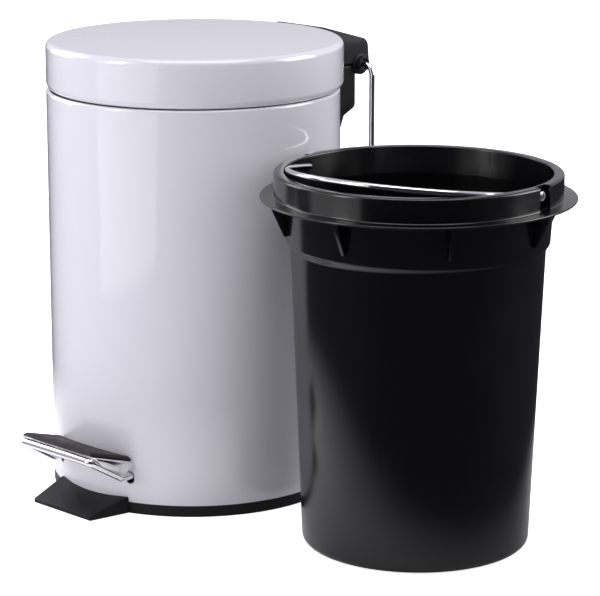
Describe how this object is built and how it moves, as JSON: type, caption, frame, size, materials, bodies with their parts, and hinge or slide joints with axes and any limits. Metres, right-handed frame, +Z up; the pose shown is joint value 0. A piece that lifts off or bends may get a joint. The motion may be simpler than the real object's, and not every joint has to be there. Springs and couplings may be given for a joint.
{
  "type": "pedal bin",
  "caption": "Round white steel pedal bin with a hinged lid, wire pedal and push rod, rear carrying handle, and a black inner bucket with a wire bail standing beside it.",
  "frame": {"origin": "on the floor, on the vertical axis of the round steel body", "axes": "+Z up, -Y towards the pedal, +Y towards the lid hinge, +X towards the bucket that stands beside the body"},
  "size_m": [0.3406, 0.236, 0.2585],
  "materials": {
    "white_paint": "gloss enamel, very light cool white",
    "black_plastic": "fine matt moulding grain",
    "bucket_plastic": "satin-gloss polypropylene",
    "black_rubber": "matt, with rows of raised dimples",
    "chrome_wire": "bright plated",
    "chrome_plate": "bright plated pressed sheet",
    "plain_steel": "zinc-plated, slightly dull",
    "dark_steel": "phosphated fasteners and clips"
  },
  "bodies": {
    "can": {"body_shell": "white_paint", "base_ring": "black_plastic", "floor_plate": "plain_steel", "body_bracket": "black_plastic", "body_bracket_plate": "plain_steel", "body_bracket_screws": "dark_steel", "hinge_pin": "plain_steel", "pivot_bracket_left": "plain_steel", "pivot_bracket_right": "plain_steel", "pivot_rivets": "plain_steel"},
    "lid": {"lid_shell": "white_paint", "lid_bracket": "black_plastic", "lid_bracket_plate": "plain_steel", "lid_bracket_screws": "dark_steel"},
    "handle": {"carry_handle": "chrome_wire"},
    "rod": {"push_rod": "plain_steel", "rod_clip": "dark_steel", "rod_washers": "dark_steel"},
    "pedal": {"pedal_wire": "chrome_wire", "pedal_plate": "chrome_plate", "pedal_pad": "black_rubber", "lift_lever": "plain_steel", "leg_clamps": "plain_steel", "pedal_axle": "plain_steel", "axle_clips": "dark_steel"},
    "bucket": {"bucket_shell": "bucket_plastic"},
    "bail": {"bucket_bail": "chrome_wire", "bail_rivets": "plain_steel"}
  },
  "joints": [
    {"name": "lid_hinge", "type": "hinge", "parent": "can", "child": "lid", "pos_m": [0, 0.118, 0.2335], "axis": [-1, 0, 0], "range_deg": [0, 76]},
    {"name": "rod_pivot", "type": "hinge", "parent": "lid", "child": "rod", "pos_m": [0, 0.09751, 0.21749], "axis": [1, 0, 0], "range_deg": [0, 76.5]},
    {"name": "pedal_press", "type": "hinge", "parent": "can", "child": "pedal", "pos_m": [0, -0.072, 0.0149], "axis": [1, 0, 0], "range_deg": [0, 12.42]},
    {"name": "handle_swing", "type": "hinge", "parent": "can", "child": "handle", "pos_m": [0, 0.118, 0.2335], "axis": [1, 0, 0], "range_deg": [-18, 130]},
    {"name": "bucket_lift", "type": "slide", "parent": "can", "child": "bucket", "axis": [0, 0, 1], "range_m": [0, 0.25]},
    {"name": "bail_swing", "type": "hinge", "parent": "bucket", "child": "bail", "pos_m": [0.1708, 0.0046, 0.1995], "axis": [-0.9833, -0.1822, 0], "range_deg": [0, 164]}
  ],
  "couplings": [
    {"joint": "rod_pivot", "follows": "lid_hinge", "ratio": 1},
    {"joint": "pedal_press", "follows": "lid_hinge", "ratio": 0.15941}
  ]
}
